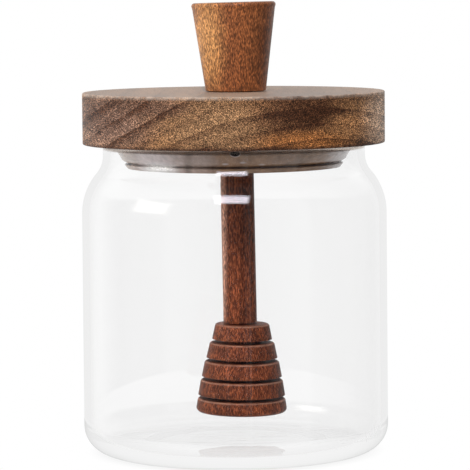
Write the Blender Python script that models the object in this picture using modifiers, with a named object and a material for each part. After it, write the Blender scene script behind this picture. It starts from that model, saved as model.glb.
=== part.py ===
"""A glass honey pot with a wooden lid and a honey dipper.

The clear jar stands on its base. The lid is a thick wooden disc, turned in one piece with the
plug below it, and a soft ring round the plug seals the neck. A tapered knob stands on the lid.
A round stick runs from a socket in the knob, through the lid, down to the ringed dipper head.
Lengths are in metres and +Z is up. The origin is the middle of the jar's base.
"""

import math

import bpy

# Clearance between neighbouring pieces
GAP = 0.0003

# Jar: heights are above its base, radii are outside
JAR_HEIGHT = 0.1010
BODY_RADIUS = 0.0500
SHOULDER_RADIUS = 0.04985
NECK_RADIUS = 0.04285
NECK_FOOT = 0.0975
SHOULDER_FOOT = 0.0785
NECK_CURVE = 0.0088
BASE_CURVE = 0.0090
WALL = 0.0023
FLOOR_HEIGHT = 0.0034
FLOOR_CURVE = 0.0062
REST_INNER_RADIUS = 0.0300
PUSH_UP_RADIUS = 0.0260
PUSH_UP = 0.0008

# Lid: a disc with a stepped plug, in one piece
LID_BOTTOM = JAR_HEIGHT + GAP
LID_TOP = 0.1181
LID_RADIUS = 0.0494
LID_TOP_ROUND = 0.0005
LID_BOTTOM_ROUND = 0.0006
PLUG_RADIUS = 0.0315
PLUG_FLANGE_RADIUS = 0.0325
PLUG_FLANGE_TOP = 0.0948
PLUG_BOTTOM = 0.0933

# Seal: a flared ring in the plug's groove, with a bead along its lower edge
SEAL_TOP = LID_BOTTOM - GAP
SEAL_LIP_RADIUS = NECK_RADIUS - WALL - GAP
SEAL_LIP_THICKNESS = 0.0004
SEAL_FLARE = 0.0051
SEAL_FLARE_POWER = 1.35
SEAL_GROOVE_TOP = 0.0953
SEAL_GROOVE_BOTTOM = 0.0949
SEAL_GROOVE_RADIUS = 0.0342
SEAL_BEAD_RADIUS = 0.0357
SEAL_BOTTOM = 0.0930
SEAL_BOTTOM_RADIUS = 0.0347
NOTCH_RADIUS = 0.00195
NOTCH_X = 0.0004

# Stick: its axis leans, so a lean is the angle of the top towards -X
STICK_RADIUS = 0.0055
STICK_TOP = 0.1295
STICK_SHOULDER = 0.0422
STICK_SHOULDER_X = 0.00161
STICK_LEAN = math.radians(0.75)
TENON_RADIUS = 0.0030
TENON_LENGTH = 0.0160

# Knob
KNOB_FOOT = LID_TOP + GAP
KNOB_HEIGHT = 0.0287
KNOB_FOOT_RADIUS = 0.00985
KNOB_TOP_RADIUS = 0.01375
KNOB_ROUND = 0.0010
KNOB_FOOT_X = 0.00086
KNOB_LEAN = math.radians(1.17)
KNOB_TRIM = 0.0010

# Dipper head: the rings' upper and lower radii run from the top ring down
HEAD_TOP = 0.0419
HEAD_HEIGHT = 0.0291
HEAD_TOP_X = 0.00226
HEAD_LEAN = math.radians(-0.9)
RING_PITCH = 0.00614
RING_SLOT = 0.00112
RING_ROUND = 0.0009
RING_RADII = (
    (0.0090, 0.00986),
    (0.01076, 0.01168),
    (0.01235, 0.01317),
    (0.0136, 0.01429),
    (0.01452, 0.01488),
)
GROOVE_SHARE = 0.62
HEAD_BOTTOM_ROUND = 0.0014

# Sides of the turned pieces
WIDE_STEPS = 64
KNOB_STEPS = 40
HEAD_STEPS = 36
STICK_STEPS = 24

MERGE_DISTANCE = 0.00001
SHARP_ANGLE = math.radians(30)

GLASS = (0.93, 0.95, 0.95, 1.0)
SILICONE = (0.60, 0.56, 0.54, 1.0)
LID_WOOD = (0.22, 0.12, 0.065, 1.0)
KNOB_WOOD = (0.34, 0.15, 0.06, 1.0)
DIPPER_WOOD = (0.16, 0.06, 0.032, 1.0)


def clear_scene():
    """Take away whatever the file holds, so the model stands alone."""
    for obj in list(bpy.data.objects):
        bpy.data.objects.remove(obj, do_unlink=True)


def new_collection(name):
    """A collection of that name in the scene."""
    collection = bpy.data.collections.new(name)
    bpy.context.scene.collection.children.link(collection)
    return collection


def new_material(name, colour, roughness, transmission=0.0):
    """A Principled BSDF with one colour."""
    material = bpy.data.materials.new(name)
    material.use_nodes = True
    shader = material.node_tree.nodes["Principled BSDF"]
    shader.inputs["Base Color"].default_value = colour
    shader.inputs["Roughness"].default_value = roughness
    shader.inputs["Metallic"].default_value = 0.0
    shader.inputs["Transmission Weight"].default_value = transmission
    return material


def arc(centre, radius, start, end, count):
    """Points on a circle about centre, from one angle to another in degrees, ends included."""
    points = []
    for index in range(count):
        angle = math.radians(start + (end - start) * index / (count - 1))
        points.append((centre[0] + radius * math.cos(angle), centre[1] + radius * math.sin(angle)))
    return points


def turned(name, outline, steps, collection, closed=False):
    """An outline of (radius, height) points turned once round the object's own Z axis.

    The outline runs down the outer side. It starts and ends on the axis, or it is a closed loop.
    """
    count = len(outline)
    edges = [(index, index + 1) for index in range(count - 1)]
    if closed:
        edges.append((count - 1, 0))
    mesh = bpy.data.meshes.new(name)
    mesh.from_pydata([(radius, 0.0, height) for radius, height in outline], edges, [])
    obj = bpy.data.objects.new(name, mesh)
    collection.objects.link(obj)
    screw = obj.modifiers.new("turn", "SCREW")
    screw.steps = steps
    screw.render_steps = steps
    screw.use_merge_vertices = True
    screw.merge_threshold = MERGE_DISTANCE
    return obj


def lean(obj, x, z, angle):
    """Stand a turned piece at (x, 0, z) with its top leaning towards -X by the angle."""
    obj.location = (x, 0.0, z)
    obj.rotation_euler = (0.0, -angle, 0.0)


def rod_cutter(name, radius, bottom, top, collection):
    """A round cutter along the stick's axis, its heights measured from the stick's shoulder."""
    outline = [(0.0, top), (radius, top), (radius, bottom), (0.0, bottom)]
    cutter = turned(name, outline, STICK_STEPS, collection)
    lean(cutter, STICK_SHOULDER_X, STICK_SHOULDER, STICK_LEAN)
    cutter.display_type = "WIRE"
    cutter.hide_render = True
    return cutter


def cut(obj, cutter):
    """Take the cutter's shape out of the object."""
    boolean = obj.modifiers.new("cut " + cutter.name, "BOOLEAN")
    boolean.operation = "DIFFERENCE"
    boolean.solver = "EXACT"
    boolean.object = cutter


def finish(obj, material):
    """Apply the modifiers, shade the round faces smooth and give the piece its material."""
    depsgraph = bpy.context.evaluated_depsgraph_get()
    mesh = bpy.data.meshes.new_from_object(obj.evaluated_get(depsgraph), depsgraph=depsgraph)
    mesh.name = obj.name
    mesh.shade_smooth()
    mesh.set_sharp_from_angle(angle=SHARP_ANGLE)
    mesh.materials.clear()
    mesh.materials.append(material)
    obj.modifiers.clear()
    obj.data = mesh


def shoulder(inset):
    """The jar's side from the neck to the straight wall: a hollow arc that meets a round one.

    With an inset both arcs keep their centres, so the wall keeps its thickness.
    """
    run = SHOULDER_RADIUS - NECK_RADIUS
    rise = NECK_FOOT - SHOULDER_FOOT
    both_radii = (run * run + rise * rise) / (2 * run)
    turn = math.degrees(math.asin(rise / both_radii))
    round_curve = both_radii - NECK_CURVE
    hollow = arc((NECK_RADIUS + NECK_CURVE, NECK_FOOT), NECK_CURVE + inset, 180, 180 + turn, 6)
    full = arc((SHOULDER_RADIUS - round_curve, SHOULDER_FOOT), round_curve - inset, turn, 0, 7)
    return hollow + full[1:]


def make_jar(collection):
    """The jar: up the inner wall from the floor, over the round rim, down to the base."""
    inner_radius = BODY_RADIUS - WALL
    outline = [(0.0, FLOOR_HEIGHT)]
    outline += arc((inner_radius - FLOOR_CURVE, FLOOR_HEIGHT + FLOOR_CURVE), FLOOR_CURVE, -90, 0, 6)
    outline += reversed(shoulder(WALL))
    outline += arc((NECK_RADIUS - WALL / 2, JAR_HEIGHT - WALL / 2), WALL / 2, 180, 0, 7)
    outline += shoulder(0.0)
    outline += arc((BODY_RADIUS - BASE_CURVE, BASE_CURVE), BASE_CURVE, 0, -90, 7)
    outline += [(REST_INNER_RADIUS, 0.0), (PUSH_UP_RADIUS, PUSH_UP), (0.0, PUSH_UP)]
    return turned("glass_jar", outline, WIDE_STEPS, collection)


def make_lid(collection, stick_cutter):
    """The disc with rounded edges, and the plug with the flange that keeps the seal on."""
    top_centre = (LID_RADIUS - LID_TOP_ROUND, LID_TOP - LID_TOP_ROUND)
    bottom_centre = (LID_RADIUS - LID_BOTTOM_ROUND, LID_BOTTOM + LID_BOTTOM_ROUND)
    outline = [(0.0, LID_TOP)]
    outline += arc(top_centre, LID_TOP_ROUND, 90, 0, 4)
    outline += arc(bottom_centre, LID_BOTTOM_ROUND, 0, -90, 4)
    outline += [(PLUG_RADIUS, LID_BOTTOM), (PLUG_RADIUS, PLUG_FLANGE_TOP)]
    outline += [(PLUG_FLANGE_RADIUS, PLUG_FLANGE_TOP), (PLUG_FLANGE_RADIUS, PLUG_BOTTOM)]
    outline += [(0.0, PLUG_BOTTOM)]
    lid = turned("lid", outline, WIDE_STEPS, collection)
    cut(lid, stick_cutter)
    return lid


def seal_flank(count):
    """The seal's outer side, from the lip down to its groove.

    The radius shrinks from the lip's by a power of the share of the way down.
    """
    height = SEAL_TOP - SEAL_LIP_THICKNESS - SEAL_GROOVE_TOP
    points = []
    for index in range(count):
        share = index / (count - 1)
        radius = SEAL_LIP_RADIUS - SEAL_FLARE * share ** SEAL_FLARE_POWER
        points.append((radius, SEAL_GROOVE_TOP + height * (1 - share)))
    return points


def notch_cutter(collection):
    """A round rod along Y through the front of the seal, its axis level with the seal's top."""
    half_length = (NECK_RADIUS - PLUG_RADIUS) / 2
    outline = [(0.0, half_length), (NOTCH_RADIUS, half_length)]
    outline += [(NOTCH_RADIUS, -half_length), (0.0, -half_length)]
    cutter = turned("notch_cutter", outline, STICK_STEPS, collection)
    cutter.location = (NOTCH_X, -(NECK_RADIUS + PLUG_RADIUS) / 2, SEAL_TOP)
    cutter.rotation_euler = (math.radians(90), 0.0, 0.0)
    cutter.display_type = "WIRE"
    cutter.hide_render = True
    return cutter


def make_seal(collection, cutters):
    """The ring: the flared flank, the groove and the bead, with a bore that fits the plug.

    A round-bottomed notch is cut in its upper edge at the front.
    """
    outline = [(PLUG_RADIUS + GAP, SEAL_TOP), (SEAL_LIP_RADIUS - SEAL_LIP_THICKNESS, SEAL_TOP)]
    outline += seal_flank(8)
    outline += [(SEAL_GROOVE_RADIUS, SEAL_GROOVE_TOP), (SEAL_GROOVE_RADIUS, SEAL_GROOVE_BOTTOM)]
    bead_centre = (SEAL_BEAD_RADIUS - SEAL_LIP_THICKNESS, SEAL_GROOVE_BOTTOM - SEAL_LIP_THICKNESS)
    outline += arc(bead_centre, SEAL_LIP_THICKNESS, 90, 0, 3)
    outline += [(SEAL_BOTTOM_RADIUS, SEAL_BOTTOM), (PLUG_FLANGE_RADIUS + GAP, SEAL_BOTTOM)]
    outline += [(PLUG_FLANGE_RADIUS + GAP, PLUG_FLANGE_TOP + GAP), (PLUG_RADIUS + GAP, PLUG_FLANGE_TOP + GAP)]
    seal = turned("seal", outline, WIDE_STEPS, collection, closed=True)
    cut(seal, notch_cutter(cutters))
    return seal


def make_stick(collection):
    """The stick: a plain dowel with a thinner tenon at its lower end, for the head's socket."""
    outline = [(0.0, STICK_TOP - STICK_SHOULDER), (STICK_RADIUS, STICK_TOP - STICK_SHOULDER)]
    outline += [(STICK_RADIUS, 0.0), (TENON_RADIUS, 0.0)]
    outline += [(TENON_RADIUS, -TENON_LENGTH), (0.0, -TENON_LENGTH)]
    stick = turned("stick", outline, STICK_STEPS, collection)
    lean(stick, STICK_SHOULDER_X, STICK_SHOULDER, STICK_LEAN)
    return stick


def make_knob(collection, cutters, stick_cutter):
    """The knob: a cone that widens upwards, trimmed level where it stands on the lid."""
    slope = (KNOB_TOP_RADIUS - KNOB_FOOT_RADIUS) / KNOB_HEIGHT
    side_angle = -math.degrees(math.atan(slope))
    outline = [(0.0, KNOB_HEIGHT)]
    outline += arc((KNOB_TOP_RADIUS - KNOB_ROUND, KNOB_HEIGHT - KNOB_ROUND), KNOB_ROUND, 90, side_angle, 5)
    outline += [(KNOB_FOOT_RADIUS - slope * KNOB_TRIM, -KNOB_TRIM), (0.0, -KNOB_TRIM)]
    knob = turned("knob", outline, KNOB_STEPS, collection)
    lean(knob, KNOB_FOOT_X, KNOB_FOOT, KNOB_LEAN)
    trim_outline = [(0.0, 0.0), (LID_RADIUS, 0.0), (LID_RADIUS, -LID_TOP), (0.0, -LID_TOP)]
    trimmer = turned("knob_foot_cutter", trim_outline, STICK_STEPS, cutters)
    trimmer.location = (0.0, 0.0, KNOB_FOOT)
    trimmer.display_type = "WIRE"
    trimmer.hide_render = True
    cut(knob, trimmer)
    cut(knob, stick_cutter)
    return knob


def head_outline():
    """The bell of rings: each has a rounded upper edge and a sharp lower one over a slot."""
    outline = [(0.0, 0.0)]
    for number, (upper, lower) in enumerate(RING_RADII):
        top = -number * RING_PITCH
        bottom = top - (RING_PITCH - RING_SLOT)
        outline += arc((upper - RING_ROUND, top - RING_ROUND), RING_ROUND, 90, 0, 4)
        if number < len(RING_RADII) - 1:
            floor = GROOVE_SHARE * lower
            outline += [(lower, bottom), (floor, bottom), (floor, top - RING_PITCH)]
    foot_radius = RING_RADII[-1][1]
    foot_centre = (foot_radius - HEAD_BOTTOM_ROUND, HEAD_BOTTOM_ROUND - HEAD_HEIGHT)
    outline += arc(foot_centre, HEAD_BOTTOM_ROUND, 0, -90, 4)
    outline += [(0.0, -HEAD_HEIGHT)]
    return outline


def make_head(collection, tenon_cutter):
    """The dipper head, with the blind socket for the stick's tenon."""
    head = turned("dipper_head", head_outline(), HEAD_STEPS, collection)
    lean(head, HEAD_TOP_X, HEAD_TOP, HEAD_LEAN)
    cut(head, tenon_cutter)
    return head


def main():
    """Make every piece of the honey pot."""
    clear_scene()
    pieces = new_collection("glass_honey_pot")
    cutters = new_collection("cutters")

    bore_bottom = PLUG_BOTTOM - STICK_SHOULDER - STICK_RADIUS
    socket_top = STICK_TOP - STICK_SHOULDER + GAP
    stick_cutter = rod_cutter("stick_cutter", STICK_RADIUS + GAP, bore_bottom, socket_top, cutters)
    tenon_bottom = -TENON_LENGTH - GAP
    tenon_cutter = rod_cutter("tenon_cutter", TENON_RADIUS + GAP, tenon_bottom, TENON_RADIUS, cutters)

    jar = make_jar(pieces)
    lid = make_lid(pieces, stick_cutter)
    seal = make_seal(pieces, cutters)
    knob = make_knob(pieces, cutters, stick_cutter)
    stick = make_stick(pieces)
    head = make_head(pieces, tenon_cutter)

    finish(jar, new_material("clear_glass", GLASS, 0.02, transmission=1.0))
    finish(lid, new_material("lid_wood", LID_WOOD, 0.55))
    finish(seal, new_material("silicone", SILICONE, 0.35, transmission=0.3))
    finish(knob, new_material("knob_wood", KNOB_WOOD, 0.5))
    finish(stick, new_material("stick_wood", DIPPER_WOOD, 0.5))
    finish(head, new_material("head_wood", DIPPER_WOOD, 0.5))


main()
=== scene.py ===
"""The looks of the glass honey pot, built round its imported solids.

Every piece is a surface worked out with numpy in metres, in the frame of the solids: +Z is up,
-Y faces the camera and +X is to the right. Angles round the pot's axis are in radians.
"""

import math

import bmesh
import bpy
import numpy as np
from mathutils import Matrix, Vector


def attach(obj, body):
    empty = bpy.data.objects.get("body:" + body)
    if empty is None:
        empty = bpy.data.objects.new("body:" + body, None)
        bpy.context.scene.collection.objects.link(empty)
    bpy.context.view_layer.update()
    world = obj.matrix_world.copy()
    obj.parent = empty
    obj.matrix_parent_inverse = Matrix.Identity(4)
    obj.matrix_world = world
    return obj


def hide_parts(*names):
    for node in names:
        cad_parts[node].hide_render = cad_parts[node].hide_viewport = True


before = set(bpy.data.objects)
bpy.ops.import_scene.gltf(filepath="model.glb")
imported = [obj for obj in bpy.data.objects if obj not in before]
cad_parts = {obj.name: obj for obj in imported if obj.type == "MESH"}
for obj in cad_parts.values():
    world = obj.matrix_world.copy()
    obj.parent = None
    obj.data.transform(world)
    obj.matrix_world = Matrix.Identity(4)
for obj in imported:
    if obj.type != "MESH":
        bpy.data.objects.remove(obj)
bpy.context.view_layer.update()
BODY = "root"

GAP = 0.0003

JAR_HEIGHT = 0.1010
BODY_RADIUS = 0.0500
SHOULDER_RADIUS = 0.04985
NECK_RADIUS = 0.04285
NECK_FOOT = 0.0975
SHOULDER_FOOT = 0.0785
NECK_CURVE = 0.0088
BASE_CURVE = 0.0090
WALL = 0.0023
FLOOR_HEIGHT = 0.0034
FLOOR_CURVE = 0.0062
REST_INNER_RADIUS = 0.0300
PUSH_UP_RADIUS = 0.0260
PUSH_UP = 0.0008

LID_BOTTOM = JAR_HEIGHT + GAP
LID_TOP = 0.1181
LID_RADIUS = 0.0494
LID_TOP_ROUND = 0.0005
LID_BOTTOM_ROUND = 0.0004
PLUG_RADIUS = 0.0315
PLUG_FLANGE_RADIUS = 0.0325
PLUG_FLANGE_TOP = 0.0948
PLUG_BOTTOM = 0.0933

SEAL_TOP = JAR_HEIGHT
SEAL_LIP_RADIUS = NECK_RADIUS - WALL - GAP
SEAL_LIP_THICKNESS = 0.0004
SEAL_FLARE = 0.0051
SEAL_FLARE_POWER = 1.35
SEAL_GROOVE_TOP = 0.0953
SEAL_GROOVE_BOTTOM = 0.0949
SEAL_GROOVE_RADIUS = 0.0342
SEAL_BEAD_RADIUS = 0.0357
SEAL_BOTTOM = 0.0930
SEAL_BOTTOM_RADIUS = 0.0347
NOTCH_RADIUS = 0.00195
NOTCH_X = 0.0004
NOTCH_RIM = 0.0004

STICK_RADIUS = 0.0055
STICK_TOP = 0.1295
STICK_SHOULDER = 0.0422
STICK_SHOULDER_X = 0.00161
STICK_LEAN = math.radians(0.75)
TENON_RADIUS = 0.0030
TENON_LENGTH = 0.0160

KNOB_FOOT = LID_TOP + GAP
KNOB_HEIGHT = 0.0287
KNOB_FOOT_RADIUS = 0.00985
KNOB_TOP_RADIUS = 0.01375
KNOB_ROUND = 0.0010
KNOB_FOOT_X = 0.00086
KNOB_LEAN = math.radians(1.17)
KNOB_SOCKET_HEIGHTS = (0.121, 0.124, 0.127)

HEAD_TOP = 0.0419
HEAD_HEIGHT = 0.0291
HEAD_TOP_X = 0.00226
HEAD_LEAN = math.radians(-0.9)
RING_PITCH = 0.00614
RING_SLOT = 0.00112
RING_ROUND = 0.0009
RING_RADII = (
    (0.0090, 0.00986),
    (0.01076, 0.01168),
    (0.01235, 0.01317),
    (0.0136, 0.01429),
    (0.01452, 0.01488),
)
GROOVE_SHARE = 0.62
HEAD_BOTTOM_ROUND = 0.0014

# Camera: a long lens, a little above the pot, held with a slight roll
LOOK_AT = Vector((0.00014, 0.0, 0.07097))
CAMERA_DISTANCE = 0.970
CAMERA_ELEVATION = math.radians(4.91)
CAMERA_ROLL = math.radians(-0.5)
CAMERA_LENS = 226.5
SENSOR_WIDTH = 36.0

ROUND_STEPS = 192
SMALL_STEPS = 128
SHARP_ANGLE = math.radians(32)
MERGE_DISTANCE = 1e-7

# Looks shared by several pieces
WHITE = (1.0, 1.0, 1.0, 1.0)
# Attribute for the painted highlights along rounded wooden edges
EDGE_HIGHLIGHT = "edge_highlight"
# Attribute for the painted sheen on flat tops: paler, with fainter specks
TOP_SHEEN = "top_sheen"
TOP_SHEEN_SPECKS = 0.4
TOP_SHEEN_PALENESS = 0.33
BASE_TINT = (0.985, 0.985, 0.985, 1.0)
RIM_TINT = (0.30, 0.24, 0.20, 1.0)
TRAPPED_GREY = (0.92, 0.92, 0.92, 1.0)
CEILING_GREY = (0.15, 0.15, 0.15, 1.0)
CONTACT_SHADOW_LEVEL = 0.90
MIRRORED_TABLE = 0.60
TABLE_IN_BASE = 0.87
TABLE_RADIUS = 0.095
TABLE_HEIGHT = -0.00005
TABLE_GREY = (0.80, 0.80, 0.80, 1.0)
TABLE_ROUGHNESS = 0.9
TABLE_STEPS = 96
TABLE_RINGS = 6
CEILING_LIGHT = (1.2, 1.2, 1.2, 1.0)
LIGHT_AIM_HEIGHT = 0.08

# Painted highlights along the rounded wooden edges, and the stick's edge bevel
LID_HIGHLIGHT_INSET = 0.0003
LID_HIGHLIGHT_REACH = 0.0005
RING_HIGHLIGHT_REACH = 0.0003
STICK_EDGE = 0.0002

# The glass and the soft ring
GLASS_IOR = 1.45
GLASS_SHADOW = (0.96, 0.96, 0.96, 1.0)
GLASS_RELIEF = 0.0007
SEED_RELIEF_SHARE = 0.2
SILICONE_IOR = 1.41
SILICONE_ROUGHNESS = 0.18
SILICONE_CLEARNESS = 0.3
SILICONE_WARM = (0.50, 0.290, 0.165, 1.0)
SILICONE_COOL = (0.38, 0.230, 0.140, 1.0)
GROOVE_SHADE = (0.10, 0.045, 0.025, 1.0)
NOTCH_HIGHLIGHT = (0.66, 0.52, 0.45, 1.0)
NOTCH_SHADE = (0.18, 0.065, 0.035, 1.0)

# Small seeds and ripples left in the glass at the right of the base
SEED_PATCH_CENTRE = (0.041, -0.022, 0.004)
SEED_PATCH_SIZE = (0.014, 0.020, 0.010)

# Studio walls: degrees from the camera's side towards +X, and the grey there
MIRRORED_WALLS = (
    (-180, 0.83), (-128, 0.85), (-112, 0.7), (-97, 0.45), (-67, 0.28), (-42, 0.2), (-14, 0.06),
    (-7.2, 0.04), (-6, 0.26), (-4.8, 0.04), (7, 0.04), (8.2, 0.26), (9.4, 0.04), (10.6, 0.04),
    (11.3, 0.4), (12, 0.04), (16, 0.06), (42, 0.2), (58, 0.32), (61, 0.0), (78, 0.0),
    (106, 0.1), (125, 0.45), (142, 0.83), (180, 0.83),
)
LIGHT_WALLS = (
    (-180, 1.0), (-100, 1.5), (-60, 1.2), (-20, 0.6), (20, 0.4), (60, 0.2), (100, 0.2),
    (140, 0.6), (180, 1.0),
)


def arc(centre, radius, start, end, count):
    """Points on a circle about centre: angles run evenly from start to end, in degrees."""
    angles = np.radians(np.linspace(start, end, count))
    return np.stack([centre[0] + radius * np.cos(angles), centre[1] + radius * np.sin(angles)], axis=1)


def line(start, end, spacing=0.001):
    """Points on a straight line, evenly spaced at about the given distance, ends included."""
    count = max(2, int(round(math.dist(start, end) / spacing)) + 1)
    return np.linspace(start, end, count)


def around(steps):
    """Angles once round the axis, the last one just short of the first."""
    return np.linspace(0.0, 2 * math.pi, steps, endpoint=False)


def swept(outline, angles, centre_x=0.0):
    """A grid of points: at angle t the profile point (r, z) lies at (c + r cos t, r sin t, z)."""
    grid = np.empty((len(outline), len(angles), 3))
    grid[..., 0] = np.reshape(centre_x, (-1, 1)) + outline[:, :1] * np.cos(angles)
    grid[..., 1] = outline[:, :1] * np.sin(angles)
    grid[..., 2] = outline[:, 1:]
    return grid


def leaned(grid, x, z, lean):
    """The grid turned about Y so its top leans towards -X, then moved to (x, 0, z)."""
    turned_grid = grid.copy()
    turned_grid[..., 0] = x + grid[..., 0] * math.cos(lean) - grid[..., 2] * math.sin(lean)
    turned_grid[..., 2] = z + grid[..., 0] * math.sin(lean) + grid[..., 2] * math.cos(lean)
    return turned_grid


def edge_highlight_rows(outline, corners, reach):
    """For each profile point, 1 on a corner that gets a painted highlight, falling off as a bell curve."""
    corners = np.asarray(corners)
    apart = np.linalg.norm(outline[:, None, :] - corners[None, :, :], axis=2).min(axis=1)
    return np.exp(-((apart / reach) ** 2))


def level_rows(outline, height):
    """For each profile point, 1 on the flat top at that height and 0 elsewhere."""
    return (outline[:, 1] > height - MERGE_DISTANCE).astype(float)


def surface(name, grid, loop=False, **marks):
    """A closed mesh over the grid: rows follow the profile and columns go once round.

    With loop the last row joins the first. Otherwise the end rows have no radius and each
    becomes one point. Faces point outwards where the profile runs down the outer side. Each
    mark holds one value a row, kept as an attribute of its name that the wood reads.
    """
    rows, columns = grid.shape[:2]
    index = np.arange(rows * columns).reshape(rows, columns)
    upper = index if loop else index[:-1]
    lower = np.roll(index, -1, axis=0) if loop else index[1:]
    corners = [upper, lower, np.roll(lower, -1, axis=1), np.roll(upper, -1, axis=1)]
    faces = np.stack(corners, axis=-1).reshape(-1, 4)
    mesh = bpy.data.meshes.new(name)
    mesh.from_pydata(grid.reshape(-1, 3).tolist(), [], faces.tolist())
    for mark, row_values in marks.items():
        attribute = mesh.attributes.new(mark, "FLOAT", "POINT")
        attribute.data.foreach_set("value", np.repeat(row_values, columns).astype(np.float32))
    bm = bmesh.new()
    bm.from_mesh(mesh)
    bmesh.ops.remove_doubles(bm, verts=bm.verts, dist=MERGE_DISTANCE)
    bm.to_mesh(mesh)
    bm.free()
    mesh.shade_smooth()
    mesh.set_sharp_from_angle(angle=SHARP_ANGLE)
    piece = bpy.data.objects.new(name, mesh)
    bpy.context.scene.collection.objects.link(piece)
    return piece


def stick_axis_x(height):
    """Where the stick's leaning axis stands along X, at a height above the table."""
    return STICK_SHOULDER_X - (height - STICK_SHOULDER) * math.tan(STICK_LEAN)


def shoulder_outline(inset):
    """The jar's side from neck to wall: a hollow arc that meets a round one at one tangent.

    Both arcs share their centres with the outer side, so an inset gives the wall's inside.
    """
    run = SHOULDER_RADIUS - NECK_RADIUS
    rise = NECK_FOOT - SHOULDER_FOOT
    both_radii = (run * run + rise * rise) / (2 * run)
    turn = math.degrees(math.asin(rise / both_radii))
    round_curve = both_radii - NECK_CURVE
    hollow = arc((NECK_RADIUS + NECK_CURVE, NECK_FOOT), NECK_CURVE + inset, 180, 180 + turn, 28)
    full = arc((SHOULDER_RADIUS - round_curve, SHOULDER_FOOT), round_curve - inset, turn, 0, 32)
    return np.vstack([hollow, full])


def make_jar():
    """The jar: a profile from the inner floor up the wall, over the rim and down to the base."""
    inner = BODY_RADIUS - WALL
    inner_shoulder = shoulder_outline(WALL)[::-1]
    outer_shoulder = shoulder_outline(0.0)
    floor_centre = (inner - FLOOR_CURVE, FLOOR_HEIGHT + FLOOR_CURVE)
    base_centre = (BODY_RADIUS - BASE_CURVE, BASE_CURVE)
    rim_centre = (NECK_RADIUS - WALL / 2, JAR_HEIGHT - WALL / 2)
    outline = np.vstack([
        line((0.0, FLOOR_HEIGHT), (inner - FLOOR_CURVE, FLOOR_HEIGHT), 0.002),
        arc(floor_centre, FLOOR_CURVE, -90, 0, 20),
        line((inner, FLOOR_HEIGHT + FLOOR_CURVE), inner_shoulder[0], 0.003),
        inner_shoulder,
        arc(rim_centre, WALL / 2, 180, 0, 14),
        outer_shoulder,
        line(outer_shoulder[-1], (BODY_RADIUS, BASE_CURVE), 0.003),
        arc(base_centre, BASE_CURVE, 0, -90, 22),
        line((BODY_RADIUS - BASE_CURVE, 0.0), (REST_INNER_RADIUS, 0.0), 0.002),
        line((REST_INNER_RADIUS, 0.0), (PUSH_UP_RADIUS, PUSH_UP), 0.001),
        line((PUSH_UP_RADIUS, PUSH_UP), (0.0, PUSH_UP), 0.003),
    ])
    return surface("honey_jar", swept(outline, around(ROUND_STEPS)))


def make_lid():
    """The lid: a closed profile round the disc, the plug and the bore.

    Each ring's centre slides from the pot's axis on the outside to the stick's in the bore.
    """
    bore = STICK_RADIUS + GAP
    top_centre = (LID_RADIUS - LID_TOP_ROUND, LID_TOP - LID_TOP_ROUND)
    bottom_centre = (LID_RADIUS - LID_BOTTOM_ROUND, LID_BOTTOM + LID_BOTTOM_ROUND)
    outline = np.vstack([
        line((bore, LID_TOP), (LID_RADIUS - LID_TOP_ROUND, LID_TOP), 0.001),
        arc(top_centre, LID_TOP_ROUND, 90, 0, 9),
        line((LID_RADIUS, top_centre[1]), (LID_RADIUS, bottom_centre[1]), 0.0008),
        arc(bottom_centre, LID_BOTTOM_ROUND, 0, -90, 6),
        line((bottom_centre[0], LID_BOTTOM), (PLUG_RADIUS, LID_BOTTOM), 0.002),
        line((PLUG_RADIUS, LID_BOTTOM), (PLUG_RADIUS, PLUG_FLANGE_TOP), 0.001),
        line((PLUG_RADIUS, PLUG_FLANGE_TOP), (PLUG_FLANGE_RADIUS, PLUG_FLANGE_TOP), 0.001),
        line((PLUG_FLANGE_RADIUS, PLUG_FLANGE_TOP), (PLUG_FLANGE_RADIUS, PLUG_BOTTOM), 0.001),
        line((PLUG_FLANGE_RADIUS, PLUG_BOTTOM), (bore, PLUG_BOTTOM), 0.002),
        line((bore, PLUG_BOTTOM), (bore, LID_TOP), 0.002),
    ])
    nearness = np.clip((PLUG_RADIUS - outline[:, 0]) / (PLUG_RADIUS - bore), 0.0, 1.0)
    centre_x = nearness * stick_axis_x(outline[:, 1])
    # The top edge gets a painted highlight, the flat top a painted sheen
    corner = (LID_RADIUS - LID_HIGHLIGHT_INSET, LID_TOP - LID_HIGHLIGHT_INSET)
    marks = {
        EDGE_HIGHLIGHT: edge_highlight_rows(outline, [corner], LID_HIGHLIGHT_REACH),
        TOP_SHEEN: level_rows(outline, LID_TOP),
    }
    return surface("turned_lid", swept(outline, around(ROUND_STEPS), centre_x), loop=True, **marks)


def seal_flank_radius(height):
    """The seal's outer radius: the lip's, less the flare times a power of the share of the way down."""
    foot = SEAL_GROOVE_TOP
    share = (SEAL_TOP - SEAL_LIP_THICKNESS - height) / (SEAL_TOP - SEAL_LIP_THICKNESS - foot)
    return SEAL_LIP_RADIUS - SEAL_FLARE * np.clip(share, 0.0, 1.0) ** SEAL_FLARE_POWER


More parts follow.
